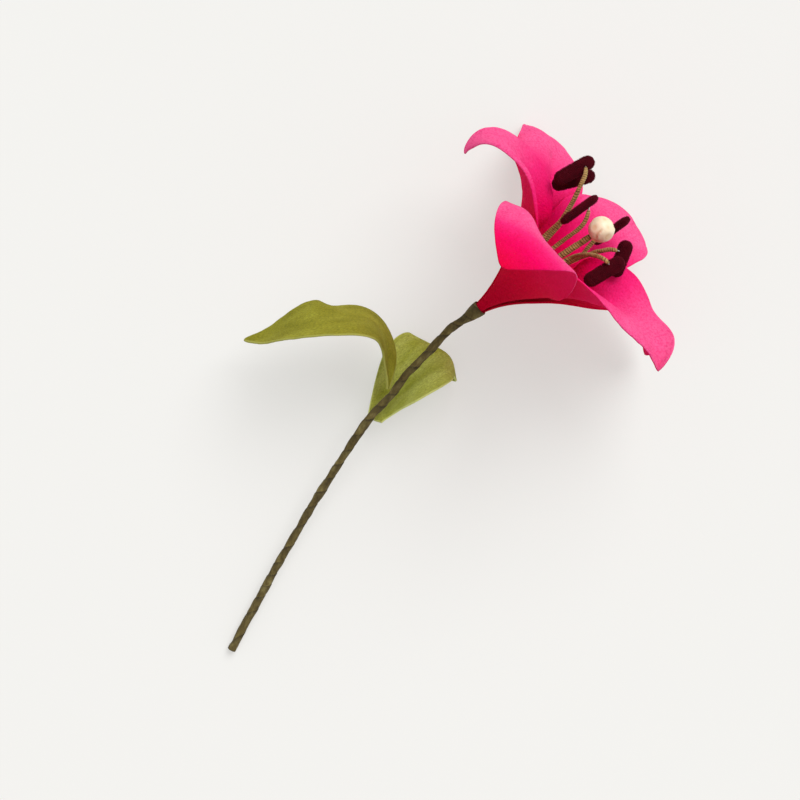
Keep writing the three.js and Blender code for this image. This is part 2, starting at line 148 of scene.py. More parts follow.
def rows_of(length, tang):
    """Places of the rows from the foot to the tip, closer together near both ends."""
    whole = np.arange(0.6, length - 2.2, ROW_PITCH)
    head = length - np.array([1.9, 1.5, 1.15, 0.85, 0.6, 0.4, 0.24, 0.12, 0.04, 0.0])
    foot = [-tang + d for d in (0, 0.1, 0.3, 0.6)] + [-0.2] if tang > 0 else [0, 0.1, 0.3]
    return np.concatenate([foot, whole, head])


def seat_at(origin, along, out, ring=0.0, tang=0.0):
    """Where a sheet is bound: its heading, the way it faces, its distance out and its buried foot."""
    along = unit(along)
    out = np.asarray(out, float)
    out = unit(out - (out @ along) * along)
    return {"origin": origin, "along": along, "out": out, "ring": ring, "tang": tang}


def frames_of(seat, form, share):
    """Heading, back and width directions of a formed sheet at shares of its length."""
    along, out = seat["along"], seat["out"]
    lean, swing, roll = (np.radians(blend(form[k], share))[:, None] for k in ("lean", "swing", "roll"))
    side = np.cos(swing) * out + np.sin(swing) * np.cross(along, out)
    heading = np.cos(lean) * along + np.sin(lean) * side
    outward = np.cos(lean) * side - np.sin(lean) * along
    sideways = np.cross(heading, outward)
    back = np.cos(roll) * outward + np.sin(roll) * sideways
    width = np.cos(roll) * sideways - np.sin(roll) * outward
    return heading, back, width


def midline(seat, form, places):
    """The midrib's points. Steps as coarse as the frame's own facets keep it where the frame is."""
    coarse, fine = np.linspace(0, 1, 23), np.linspace(0, 1, 441)
    lines = []
    for stations in (coarse, fine):
        heading = frames_of(seat, form, stations)[0]
        step = form["length"] / (len(stations) - 1)
        walk = np.cumsum((heading[1:] + heading[:-1]) / 2 * step, axis=0)
        lines.append(np.concatenate([np.zeros((1, 3)), walk]))
    share = np.clip(places / form["length"], 0, 1)
    shift = lines[0] - lines[1][::20]
    points = [np.interp(share, fine, lines[1][:, k]) + np.interp(share, coarse, shift[:, k]) for k in range(3)]
    start = seat["origin"] + seat["out"] * seat["ring"]
    return start + np.stack(points, axis=1) + np.minimum(places, 0)[:, None] * seat["along"]


def formed(seat, form, seed):
    """Middle surface of a formed sheet on a fine grid, with its flat coordinates and edge distances."""
    along, out, length = seat["along"], seat["out"], form["length"]
    places = rows_of(length, seat["tang"])
    share = np.clip(places / length, 0, 1)
    _, back, width = frames_of(seat, form, share)
    back[places < 0], width[places < 0] = out, np.cross(along, out)
    middle = midline(seat, form, places)
    half = cut_outline(share, form["cut"]) * form["width"] / 2
    # The point is rounded
    from_tip = length - places
    rounding = np.sqrt(np.clip(1 - (1 - np.clip(from_tip / form.get("tip_round", 1.6), 0, 1)) ** 2, 0, 1))
    fine_half = np.maximum(half * rounding, LEAST)
    # Near its foot the sheet hugs the ring that it is bound to
    radial = middle - seat["origin"]
    radial = radial - (radial @ along)[:, None] * along
    radius = np.maximum(np.linalg.norm(radial, axis=1), 0.001)
    until, fade = form.get("hug", (30, 25))
    wrap = 1 - smooth((share * length - until) / fade)
    fold = np.radians(blend(form["fold"], share)) * (1 - wrap)
    shape = (len(places), 2 * HALF_COLUMNS + 1)
    grid, flat, edge = np.zeros((*shape, 3)), np.zeros((*shape, 2)), np.zeros(shape)
    grid[:, HALF_COLUMNS] = middle
    flat[..., 1] = places[:, None]
    edge[:, HALF_COLUMNS] = np.inf
    for sign, hand, stray in ((1, "near", seed + 1), (-1, "far", seed + 2)):
        # The scissors wander a little
        wander = 1 + 0.01 * waves(places[:, None], stray, 26) * smooth(share * 4)
        spread = blend(form.get("spread_" + hand, [0, 0]), share) * rounding
        side_half = np.maximum(fine_half * wander + spread, LEAST)[:, None]
        squeeze = np.minimum(1, side_half / 3.0)
        inner = np.linspace(0, 1, HALF_COLUMNS - len(EDGE) + 2) * (side_half - EDGE[-1] * squeeze)
        u = np.concatenate([inner, side_half - EDGE[-2::-1] * squeeze], axis=1)
        between = (u[:, 1:] + u[:, :-1]) / 2
        f = between / np.maximum(half, 1e-6)[:, None]
        bend = np.radians(blend(form[hand], share)) + wrap * half / radius
        angle = fold[:, None] * np.minimum(1, 4 * f) + bend[:, None] * f
        turn, band = form.get("curl_" + hand, ([0, 0], 1.0))
        rolled = smooth(1 - (side_half - between) / np.minimum(band, 0.5 * side_half))
        angle = angle + np.radians(blend(turn, share))[:, None] * rolled
        step = np.diff(u, axis=1)
        x = np.cumsum(np.cos(angle) * step, axis=1)[..., None]
        y = np.cumsum(np.sin(angle) * step, axis=1)[..., None]
        column = HALF_COLUMNS + sign * np.arange(1, HALF_COLUMNS + 1)
        grid[:, column] = middle[:, None] + sign * x * width[:, None] - y * back[:, None]
        flat[:, column, 0] = sign * u[:, 1:]
        edge[:, column] = side_half - u[:, 1:]
        edge[:, HALF_COLUMNS] = np.minimum(edge[:, HALF_COLUMNS], wander * fine_half)
    from_foot = places + seat["tang"]
    edge = np.minimum(edge, np.minimum(from_tip, from_foot)[:, None])
    return grid, flat, edge, share


def grid_normals(grid):
    return unit(np.cross(np.gradient(grid, axis=0), np.gradient(grid, axis=1)))


def spot(flat, u, v, radius):
    """1 at a place of the flat sheet, fading over the radius."""
    return np.exp(-(((flat[..., 0] - u) ** 2 + (flat[..., 1] - v) ** 2) / radius**2))


def handled(grid, flat, share, form, seed):
    """The sheet with soft ripples, pinched creases and dents, and with places pressed aside."""
    calm = smooth((share - 0.38) / 0.25)[:, None]
    lift = (0.35 * waves(flat, seed + 7, 30) + 0.10 * waves(flat, seed + 8, 8)) * calm
    for u0, v0, u1, v1, width, depth in form.get("creases", []):
        start, way = np.array([u0, v0]), np.array([u1 - u0, v1 - v0])
        t = np.clip(((flat - start) @ way) / (way @ way), 0, 1)
        off = np.linalg.norm(flat - start - t[..., None] * way, axis=-1)
        ends = smooth(t * 5) * smooth((1 - t) * 5)
        lift = lift + depth * ends * np.exp(-((off / width) ** 2))
    for u, v, radius, depth in form.get("dents", []):
        lift = lift + depth * spot(flat, u, v, radius)
    grid = grid + grid_normals(grid) * lift[..., None]
    for u, v, radius, move in form.get("presses", []):
        grid = grid + spot(flat, u, v, radius)[..., None] * np.array(move)
    return grid


def sheet_piece(node, seat, form, thickness, material, seed):
    """A formed sheet with soft rounded edges, in place of the CAD's own."""
    grid, flat, edge, share = formed(seat, form, seed)
    grid = handled(grid, flat, share, form, seed)
    near = np.clip(edge / (thickness / 2), 0, 1)
    h = thickness / 2 * np.sqrt(np.clip(1 - (1 - near) ** 2, 0, 1))
    lift = grid_normals(grid) * (h * (1 + 0.05 * waves(flat, seed + 9, 2.2)))[..., None]
    points = np.stack([grid + lift, grid - lift]).reshape(-1, 3)
    cut, margin = np.zeros((2, 2, *edge.shape, 3))
    cut[..., :2] = flat
    cut[0, ..., 2], cut[1, ..., 2] = 1, -1
    margin[..., 0] = edge
    margin[..., 1] = share[:, None]
    # The third channel carries the painted light and shade along the sheet
    margin[..., 2] = np.clip(blend(form.get("pale", PAINTED_LIGHT), share), 0, 1)[:, None]
    # Both faces share the points of the rim
    upper, lower = np.arange(2 * edge.size).reshape(2, *edge.shape)
    rim = np.ones(edge.shape, bool)
    rim[1:-1, 1:-1] = False
    lower[rim] = upper[rim]
    faces = []
    for index in (upper, lower):
        corners = [index[:-1, :-1], index[1:, :-1], index[1:, 1:], index[:-1, 1:]]
        if index is lower:
            corners = [corners[k] for k in (0, 3, 2, 1)]
        faces.append(np.stack(corners, axis=-1).reshape(-1, 4))
    used, packed = np.unique(np.concatenate(faces), return_inverse=True)
    layers = {"cut": cut.reshape(-1, 3)[used], "margin": margin.reshape(-1, 3)[used]}
    obj = add_mesh(node + "_sheet", points[used], packed.reshape(-1, 4), material, node, layers)
    s = np.linspace(0, 1, 400)
    area = form["width"] * form["length"] * np.trapz(cut_outline(s, form["cut"]), s)
    area += seat["tang"] * form["cut"]["base"] * form["width"]


# Round pieces along a path

def spokes(sides):
    return np.arange(sides) * 2 * np.pi / sides


def on_tube(marks, angle, radius):
    """Points of a straight tube, at which the unevenness of a round piece is read."""
    x, y = radius * np.cos(angle)[None], radius * np.sin(angle)[None]
    return np.stack(np.broadcast_arrays(marks[:, None], x, y), axis=-1)


class Path:
    """Centripetal Catmull-Rom curve by distance along it, with frames that don't twist."""

    def __init__(self, points, fine=60):
        p = np.asarray(points, float)
        if len(p) == 2:
            dense = p[0] + np.linspace(0, 1, fine)[:, None] * (p[1] - p[0])
        else:
            ext = np.concatenate([[2 * p[0] - p[1]], p, [2 * p[-1] - p[-2]]])
            dense = [p[:1]]
            t = np.linspace(0, 1, fine + 1)[1:, None]
            for i in range(len(p) - 1):
                x0, x1, x2, x3 = ext[i : i + 4]
                d0, d1, d2 = (math.sqrt(np.linalg.norm(b - a)) for a, b in ((x0, x1), (x1, x2), (x2, x3)))
                m1 = ((x1 - x0) / d0 - (x2 - x0) / (d0 + d1) + (x2 - x1) / d1) * d1
                m2 = ((x2 - x1) / d1 - (x3 - x1) / (d1 + d2) + (x3 - x2) / d2) * d1
                curve = x1 + m1 * t + (-3 * x1 + 3 * x2 - 2 * m1 - m2) * t**2
                dense.append(curve + (2 * x1 - 2 * x2 + m1 + m2) * t**3)
            dense = np.concatenate(dense)
        self.points = dense
        steps = np.linalg.norm(np.diff(dense, axis=0), axis=1)
        self.distance = np.concatenate([[0], np.cumsum(steps)])
        self.length = self.distance[-1]
        self.tangents = unit(np.gradient(dense, axis=0))
        n = unit(np.cross(self.tangents[0], [0.3, 0.2, 1.0]))
        normals = [n]
        for t in self.tangents[1:]:
            n = unit(n - (n @ t) * t)
            normals.append(n)
        self.normals = np.array(normals)

    def read(self, table, distance):
        return np.stack([np.interp(distance, self.distance, table[:, k]) for k in range(3)], axis=-1)

    def at(self, distance):
        distance = np.asarray(distance, float)
        over = distance - np.clip(distance, 0, self.length)
        return self.read(self.points, distance) + over[..., None] * self.heading(distance)

    def heading(self, distance):
        return unit(self.read(self.tangents, distance))

    def rings(self, distance, radius, sides):
        """Rings of points; radius has one value a ring, or one for each of its sides."""
        distance = np.asarray(distance, float)
        t = self.heading(distance)
        n = self.read(self.normals, distance)
        n = unit(n - (n * t).sum(-1, keepdims=True) * t)
        b = np.cross(t, n)
        angle = spokes(sides)
        radius = np.broadcast_to(np.asarray(radius, float).reshape(len(distance), -1), (len(distance), sides))
        spoke = np.cos(angle)[:, None] * n[:, None] + np.sin(angle)[:, None] * b[:, None]
        return self.at(distance)[:, None] + radius[..., None] * spoke


def looped(rings):
    """A closed body whose rings go out along its outside and back along its inside."""
    rows, sides, _ = rings.shape
    faces = tube_faces(rows, sides)
    j = np.arange(sides)
    k = (j + 1) % sides
    last = (rows - 1) * sides
    faces = np.concatenate([faces, np.stack([last + j, j, k, last + k], axis=-1)])
    return rings.reshape(-1, 3), faces[:, ::-1]


def capped(rings):
    """A closed body with its two ends drawn to a point."""
    rows, sides, _ = rings.shape
    points = np.concatenate([rings.reshape(-1, 3), rings[0].mean(0)[None], rings[-1].mean(0)[None]])
    faces = tube_faces(rows, sides)[:, ::-1].tolist()
    first, last = rows * sides, rows * sides + 1
    for j in range(sides):
        k = (j + 1) % sides
        faces.append([first, k, j])
        faces.append([last, (rows - 1) * sides + j, (rows - 1) * sides + k])
    return points, faces


# Materials

class Finish:
    """A material made of nodes about one Principled shader."""

    def __init__(self, name, **fixed):
        self.material = bpy.data.materials.new(name)
        self.material.use_nodes = True
        self.tree = self.material.node_tree
        self.shader = self.tree.nodes["Principled BSDF"]
        for key, value in fixed.items():
            self.shader.inputs[key.replace("_", " ")].default_value = value

    def add(self, kind, **values):
        node = self.tree.nodes.new(kind)
        for key, value in values.items():
            setattr(node, key, value)
        return node

    def put(self, socket, value):
        if isinstance(value, bpy.types.NodeSocket):
            self.tree.links.new(value, socket)
        else:
            socket.default_value = value

    def to(self, name, value):
        self.put(self.shader.inputs[name], value)

    def object_place(self):
        return self.add("ShaderNodeTexCoord").outputs["Object"]

    def attribute(self, name):
        return self.add("ShaderNodeAttribute", attribute_name=name).outputs["Vector"]

    def scaled(self, vector, scale, turn=(0, 0, 0)):
        node = self.add("ShaderNodeMapping")
        self.put(node.inputs["Vector"], vector)
        node.inputs["Scale"].default_value = scale
        node.inputs["Rotation"].default_value = turn
        return node.outputs["Vector"]

    def noise(self, vector, scale, detail=2.0, rough=0.5, distortion=0.0):
        node = self.add("ShaderNodeTexNoise")
        self.put(node.inputs["Vector"], vector)
        for key, value in (("Scale", scale), ("Detail", detail), ("Roughness", rough), ("Distortion", distortion)):
            node.inputs[key].default_value = value
        return node.outputs["Fac"]

    def ramp(self, value, stops):
        node = self.add("ShaderNodeValToRGB")
        while len(node.color_ramp.elements) < len(stops):
            node.color_ramp.elements.new(0.5)
        for element, (place, color) in zip(node.color_ramp.elements, stops):
            element.position = place
            element.color = (*color, 1) if hasattr(color, "__len__") else (color, color, color, 1)
        self.put(node.inputs["Fac"], value)
        return node.outputs["Color"]

    def mix(self, share, a, b, mode="MIX"):
        node = self.add("ShaderNodeMix", data_type="RGBA", blend_type=mode)
        node.clamp_result = False
        self.put(node.inputs["Factor"], share)
        for socket, value in ((node.inputs[6], a), (node.inputs[7], b)):
            self.put(socket, (*value, 1) if isinstance(value, tuple) else value)
        return node.outputs[2]

    def shade(self, share, base, value, stops):
        """Darkens the base by a ramp of the value."""
        return self.mix(share, base, self.ramp(value, stops), "MULTIPLY")

    def math(self, operation, a, b=0.0, c=0.0):
        node = self.add("ShaderNodeMath", operation=operation)
        for socket, value in zip(node.inputs, (a, b, c)):
            self.put(socket, value)
        return node.outputs[0]

    def part(self, vector, name):
        node = self.add("ShaderNodeSeparateXYZ")
        self.put(node.inputs[0], vector)
        return node.outputs[name]

    def bump(self, height, strength, distance):
        node = self.add("ShaderNodeBump")
        node.inputs["Strength"].default_value = strength
        node.inputs["Distance"].default_value = distance
        self.put(node.inputs["Height"], height)
        self.to("Normal", node.outputs["Normal"])


def fibres(f, place, across, along, turns):
    """Crossing strands of wool, as the brightest of several stretched noises."""
    total = None
    for turn in turns:
        strand = f.noise(f.scaled(place, (across, along, 1), (0, 0, turn)), 1.0, 3.0, 0.6, 0.4)
        total = strand if total is None else f.math("MAXIMUM", total, strand)
    return total


WHITE = (1.0, 1.0, 1.0)


def felt(name, tint, gloss):
    return Finish(
        name, Roughness=0.92, Sheen_Weight=0.02, Sheen_Roughness=0.5, Sheen_Tint=tint, Specular_IOR_Level=gloss
    )


def petal_felt():
    f = felt("petal_felt", (1.0, 0.3, 0.5, 1), 0.05)
    cut, margin = f.attribute("cut"), f.attribute("margin")
    side = f.math("MULTIPLY_ADD", f.part(cut, "Z"), 0.5, 0.5)
    cloud = f.noise(cut, 0.11, 3.0, 0.6)
    mottle = f.noise(cut, 0.9, 3.0, 0.6, 0.4)
    strands = fibres(f, cut, 5.0, 0.7, (0.3, 1.4, 2.5))
    veins = f.noise(f.scaled(cut, (0.55, 0.035, 1)), 1.0, 3.0, 0.6, 0.3)
    # The colour is painted light and shade: deepest, as painted shade, in the throat and palest, as painted light, on
    # the blade
    inside = f.ramp(f.part(margin, "Z"), [
        (0.0, (0.84, 0.0, 0.055)), (0.3, (0.95, 0.0, 0.14)), (0.65, (0.98, 0.03, 0.23)), (1.0, (0.99, 0.15, 0.36)),
    ])
    # The outside is painted darker and redder than the inside, as painted shade, and darker still towards its foot
    outside = f.ramp(f.part(margin, "Y"), [
        (0.1, (0.62, 0.0, 0.03)), (0.30, (0.80, 0.0, 0.046)), (0.7, (0.95, 0.012, 0.14)),
    ])
    base = f.mix(side, outside, inside)
    base = f.shade(0.5, base, cloud, [(0.34, (0.90, 0.55, 0.78)), (0.66, WHITE)])
    base = f.shade(0.75, base, mottle, [(0.36, (0.93, 0.35, 0.66)), (0.58, WHITE)])
    base = f.shade(0.3, base, veins, [(0.35, (0.90, 0.6, 0.8)), (0.65, WHITE)])
    base = f.shade(0.4, base, strands, [(0.42, (0.82, 0.5, 0.68)), (0.72, WHITE)])
    f.to("Base Color", base)
    f.to("Roughness", f.ramp(strands, [(0.4, 0.98), (0.75, 0.86)]))
    f.bump(f.math("ADD", strands, f.math("MULTIPLY", mottle, 1.6)), 0.8, 0.0007)
    return f.material


def leaf_felt(name, dark, light, edge_highlight_colour, turn):
    f = felt(name, (0.95, 1.0, 0.7, 1), 0.08)
    cut, margin = f.attribute("cut"), f.attribute("margin")
    cloud = f.noise(f.scaled(cut, (0.12, 0.05, 1), (0, 0, turn)), 1.0, 2.0, 0.5)
    streaks = f.noise(f.scaled(cut, (1.3, 0.09, 1)), 1.0, 4.0, 0.7, 0.6)
    grain = f.noise(f.scaled(cut, (1.7, 0.8, 1)), 1.0, 4.0, 0.7, 0.3)
    strands = fibres(f, cut, 5.0, 0.6, (0.12, -0.2, 1.2))
    base = f.ramp(cloud, [(0.3, dark), (0.7, light)])
    base = f.shade(0.4, base, streaks, [(0.3, 0.70), (0.62, 1.0)])
    base = f.shade(0.9, base, grain, [(0.36, 0.58), (0.60, 1.0)])
    base = f.shade(0.6, base, strands, [(0.42, 0.62), (0.72, 1.0)])
    # The edges are painted lighter, a painted highlight on the thin margins
    rim = f.ramp(f.part(margin, "X"), [(0.15, 0.55), (0.8, 0.0)])
    f.to("Base Color", f.mix(rim, base, edge_highlight_colour))
    f.to("Roughness", f.ramp(strands, [(0.4, 0.98), (0.75, 0.84)]))
    f.bump(f.math("ADD", strands, f.math("MULTIPLY", grain, 1.5)), 0.8, 0.0007)
    return f.material


def stem_tape():
    f = Finish("stem_tape", Roughness=0.75, Sheen_Weight=0.02, Specular_IOR_Level=0.3)
    cut = f.attribute("cut")
    cloud = f.noise(f.scaled(cut, (0.3, 0.12, 1)), 1.0, 3.0, 0.6)
    crepe = f.noise(f.scaled(cut, (3.0, 0.8, 1), (0, 0, 0.5)), 1.0, 3.0, 0.6)
    base = f.ramp(cloud, [(0.3, (0.050, 0.034, 0.008)), (0.52, (0.105, 0.078, 0.022)), (0.70, (0.19, 0.155, 0.055))])
    # Each lap is painted dark, as shade, where it dips under the one before, and painted lighter, as a highlight, on
    # its crest
    base = f.shade(1.0, base, f.part(cut, "Z"), [(0.0, (0.30, 0.27, 0.22)), (0.22, WHITE), (0.9, (1.15, 1.12, 1.0))])
    base = f.shade(0.6, base, crepe, [(0.35, 0.7), (0.7, 1.0)])
    f.to("Base Color", base)
    f.to("Roughness", f.ramp(crepe, [(0.35, 0.88), (0.7, 0.65)]))
    f.bump(crepe, 0.4, 0.0003)
    return f.material


def wound_thread():
    f = Finish("wound_thread", Roughness=0.75, Sheen_Weight=0.05, Specular_IOR_Level=0.3)
    cut = f.attribute("cut")
    twist = f.noise(f.scaled(cut, (0.6, 5.0, 1), (0, 0, 0.5)), 1.0, 2.0, 0.5)
    cloud = f.noise(cut, 0.35, 2.0, 0.5)
    speck = f.noise(cut, 1.6, 2.0, 0.6)
    base = f.ramp(cloud, [(0.3, (0.34, 0.19, 0.05)), (0.7, (0.64, 0.43, 0.15))])
    # The grooves between turns are painted dark, as shade
    base = f.shade(1.0, base, f.part(cut, "Z"), [(0.35, (0.08, 0.06, 0.04)), (0.9, WHITE)])
    base = f.shade(0.6, base, twist, [(0.35, 0.7), (0.65, 1.0)])
    base = f.shade(0.6, base, speck, [(0.36, 0.45), (0.56, 1.0)])
    f.to("Base Color", base)
    f.to("Roughness", f.ramp(twist, [(0.35, 0.85), (0.65, 0.65)]))
    f.bump(twist, 0.35, 0.0002)
    return f.material


def anther_velvet():
    f = Finish(
        "anther_velvet", Roughness=0.9, Sheen_Weight=0.2, Sheen_Roughness=0.4, Sheen_Tint=(0.9, 0.1, 0.2, 1),
        Specular_IOR_Level=0.1,
    )
    pile = f.attribute("pile")
    place = f.object_place()
    cloud = f.noise(place, 220.0, 3.0, 0.6)
    speck = f.noise(place, 2400.0, 2.0, 0.5)
    # The core and the tufts' roots are painted darker, as shade deep in the pile, and the tufts' tips redder and
    # lighter, as painted light
    base = f.ramp(f.part(pile, "X"), [
        (0.0, (0.030, 0.0, 0.002)), (0.55, (0.085, 0.0, 0.006)), (1.0, (0.22, 0.002, 0.018)),
    ])
    base = f.shade(0.7, base, cloud, [(0.35, 0.5), (0.68, 1.0)])
    base = f.shade(0.5, base, speck, [(0.35, 0.6), (0.7, 1.0)])
    f.to("Base Color", base)
    f.to("Roughness", f.ramp(speck, [(0.35, 0.98), (0.7, 0.82)]))
    f.bump(speck, 0.4, 0.0003)
    return f.material


def pearl_coat():
    f = Finish("pearl_coat", Roughness=0.4, Coat_Weight=0.25, Coat_Roughness=0.25, Specular_IOR_Level=0.4)
    shape = f.attribute("shape")
    place = f.object_place()
    cloud = f.noise(place, 160.0, 3.0, 0.55)
    rings = f.noise(f.scaled(place, (500, 900, 500)), 1.0, 3.0, 0.5, 0.6)
    base = f.ramp(cloud, [(0.34, (0.70, 0.46, 0.24)), (0.5, (0.79, 0.58, 0.33)), (0.66, (0.84, 0.69, 0.45))])
    # Raised edges and the lip are painted pale, as painted highlight, and the crease is painted darker and warmer, as
    # painted shade
    base = f.mix(f.ramp(f.part(shape, "X"), [(0.0, 0.0), (1.0, 0.7)]), base, (0.91, 0.82, 0.62))
    base = f.mix(f.ramp(f.part(shape, "Y"), [(0.0, 0.0), (1.0, 0.8)]), base, (0.62, 0.36, 0.18))
    f.to("Base Color", base)
    f.to("Roughness", f.ramp(rings, [(0.3, 0.48), (0.7, 0.34)]))
    f.bump(rings, 0.15, 0.0004)
    return f.material


def drawn_wire():
    f = Finish("drawn_wire", Roughness=0.35, Metallic=0.95)
    streaks = f.noise(f.scaled(f.object_place(), (900, 900, 900)), 1.0, 2.0, 0.6)
    f.to("Base Color", f.ramp(streaks, [(0.3, (0.36, 0.35, 0.33)), (0.7, (0.60, 0.60, 0.58))]))
    f.to("Roughness", f.ramp(streaks, [(0.3, 0.45), (0.7, 0.28)]))
    f.bump(streaks, 0.1, 0.0001)
    return f.material


petal_material = petal_felt()
# Each leaf's third colour is painted onto its edges as a highlight
leaf_materials = {
    "leaf_arching": leaf_felt("leaf_felt", (0.30, 0.28, 0.018), (0.45, 0.43, 0.045), (0.52, 0.52, 0.14), 0.0),
    "leaf_cupped": leaf_felt("leaf_felt_pale", (0.50, 0.54, 0.05), (0.78, 0.84, 0.19), (0.84, 0.88, 0.34), 1.2),
}
tape_material = stem_tape()
thread_material = wound_thread()
velvet_material = anther_velvet()
pearl_material = pearl_coat()
wire_material = drawn_wire()

for name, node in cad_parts.items():
    if name.endswith("_wire"):
        for entry in node.material_slots:
            entry.material = wire_material

# Stem

STEM_RADIUS, TAPE_RADIUS, WIRE_RADIUS, CLEARANCE = 2.5, 1.92, 1.0, 0.3
PETAL_SHEET, LEAF_SHEET, TANG = 1.0, 1.2, 3.0
INNER_RING = 1.4
OUTER_RING = INNER_RING + PETAL_SHEET + CLEARANCE + 0.05
CLAWS = OUTER_RING + PETAL_SHEET / 2 + CLEARANCE
COLLAR = CLAWS + 0.4

stem_path = Path([
    in_bloom(0, 0, 0),
    in_bloom(-10, 0, 0),
    (-14.5, -10.2, 40.5),
    (-25.5, -21.7, 36),
    (-37.4, -33.7, 31.5),
    (-44.5, -43.7, 28),
    (-55.5, -55, 24),
    (-70.4, -77, 17.5),
    (-86, -101.5, 13.5),
    (-101, -127, 9.5),
    (-115, -152, 6),
    (-128, -176.5, 3),
])


def build_stem():
    """Tape wound up the stem in laps, opening into a collar under the petals, round the core wire's bore."""
    sides, lap_pitch, collar_length = 40, 9.5, 14.4
    marks = np.concatenate([[0, 0.15, 0.4], np.arange(0.8, stem_path.length - 0.5, 0.45)])
    marks = np.concatenate([marks, stem_path.length - np.array([0.3, 0.12, 0.0])])
    angle = spokes(sides)
    flare = (1 - smooth(marks / collar_length))[:, None]
    stray = 0.3 * waves(marks[:, None], 3, 60)[:, None]
    lap = (marks[:, None] / lap_pitch - angle[None] / (2 * np.pi) + stray) % 1
    ridge = 0.26 * smooth(lap / 0.10) * (1 - lap) ** 0.8
    around = on_tube(marks, angle, 6)
    lumps = 0.15 * waves(around, 11, 14) + 0.07 * waves(around, 12, 4)
    ripple = 0.12 * np.sin(2 * np.pi * marks / 14)[:, None]
    radius = TAPE_RADIUS + (COLLAR - TAPE_RADIUS) * flare + (ripple + lumps + ridge) * (1 - 0.8 * flare)
    from_end = np.minimum(marks, stem_path.length - marks)[:, None]
    radius = radius - 0.25 * (1 - np.clip(from_end / 0.4, 0, 1)) ** 2
    cup_floor = TANG + CLEARANCE
    back = np.linspace(stem_path.length, cup_floor, 90)
    rings = np.concatenate([
        stem_path.rings(marks, radius, sides),
        stem_path.rings(back, np.full(len(back), WIRE_RADIUS + CLEARANCE), sides),
        stem_path.rings([cup_floor, 0.0], [CLAWS, CLAWS], sides),
    ])
    points, faces = looped(rings)
    cut = np.zeros((len(rings), sides, 3))
    cut[..., 0] = angle * STEM_RADIUS
    cut[..., 1] = np.concatenate([marks, back, [cup_floor, 0]])[:, None]
    cut[..., 2] = 0.5
    cut[: len(marks), :, 0] += 3 * lap
    # The third channel places each lap's painted shade and highlight
    cut[: len(marks), :, 2] = lap
    return add_mesh("stem_tape", points, faces, tape_material, "stem_wrap", {"cut": cut.reshape(-1, 3)})


stem_piece = build_stem()

# Petals

inner_cut = {"base": 0.04, "tip": 0.04, "widest": 0.6, "claw": 1.8, "point": 0.85}
outer_cut = dict(inner_cut, base=0.09)
LEVEL = [0, 0]
# Angles are in degrees, evenly spaced from foot to tip. The near margin is the one on the side
# of along x out. Creases, dents and presses are given by their place on the flat sheet.

petals = {
    "petal_back_curl": {
        "ring": "inner", "azimuth": 24, "length": 118, "width": 44,
        "lean": [9, 29, 36, 56, 105, 215], "swing": [0, 0, -12, -5, -8], "roll": [0, 0, -5, 6, -8],
        "fold": [0, 35, 52, 30, 10, 8], "near": [0, 0, -12, -12, 0], "far": [0, 0, -4, -8, 0],
        "curl_near": ([0, 0, -20, -55, -60, -50, -20], 3.5),
        "spread_near": [0, 0, 0, 0.8, 0.8, 0.8, 0], "presses": [(13, 101, 10, (0.3, 1.6, 0))],
        "creases": [(0, 50, 1, 112, 1.6, -0.5)],
    },
    "petal_top": {
        "ring": "outer", "azimuth": -46, "length": 126, "width": 48,
        "lean": [12, 31, 38, 61, 94, 128], "swing": LEVEL, "roll": [0, 5, 15, -12, -17],
        "fold": [0, 0, 0, 3, -10, -4], "near": [0, 0, 12, -28, -30], "far": [0, 0, 8, 0, 0],
        "curl_near": ([0, 0, 0, 0, 0, 0, 0, 40, 135, 15, 0], 4.5),
        "spread_near": [0, 0, 0, 0, 0, 0, 0, 0.5, 2.2, 0.2, 0],
        "creases": [(-2, 100, 1, 42, 1.5, -0.9), (-3, 104, 1, 42, 6.0, -1.6)], "dents": [(-1.5, 91, 3.2, -1.1)],
    },
    "petal_far": {
        "ring": "inner", "azimuth": -94, "length": 115, "width": 53,
        "lean": [9, 29, 36, 44, 73, 106], "swing": [0, 0, -5, 0, 4], "roll": [0, 0, -4, -8, -4],
        "fold": [0, 0, 0, 6, 0, -12], "near": LEVEL, "far": LEVEL, "hug": (55, 30),
        "spread_near": [0, 0, 0, -1.5, -3, -2.5, -1, 0, 0],
        "presses": [(23, 92, 14, (-1.2, -1.6, 0)), (-21, 87, 7, (1.2, -0.4, 0)), (-24, 74, 7, (0.2, 1.8, 0))],
    },
    "petal_low": {
        "ring": "inner", "azimuth": 156, "length": 115, "width": 54,
        "lean": [9, 30, 38, 54, 82, 112], "swing": [0, 0, -5, 9, -5], "roll": [0, 0, 25, 2, 30],
        "fold": [0, 36, 60, 40, 20, 42], "near": [0, 0, 5, -8, 45], "far": [0, 0, 0, -35, 0],
        "presses": [(20, 62, 12, (-1.2, -0.6, 0))], "creases": [(-3, 60, -1, 104, 2.0, -0.5)],
    },
    "petal_front_fold": {
        "ring": "outer", "azimuth": 87, "length": 123, "width": 53, "cut": dict(outer_cut, widest=0.54),
        "lean": [12, 32, 41, 67, 106, 130], "swing": [0, 0, -16, 0, 19], "roll": [0, 0, 6, 20, 16],
        "fold": [0, 0, 0, 0, -11, -9], "near": [0, -8, 0, -8, -9], "far": [0, 0, 0, -8, -7],
        # This petal's pale list paints its tip deeper again, as painted shade where it turns from the light
        "presses": [(-14, 78, 11, (3.5, 3.5, 0))], "pale": [0, 0, 0.3, 1.0, 1.0, 0.35, 0],
    },
    "petal_under": {
        "ring": "outer", "azimuth": -149, "length": 118, "width": 46,
        "lean": [12, 35, 45, 74, 108, 132], "swing": [0, 0, 7, 16, 15], "roll": [0, 0, -16, -9, 0],
        "fold": LEVEL, "near": LEVEL, "far": [0, 0, 12, 7, 0],
    },
}

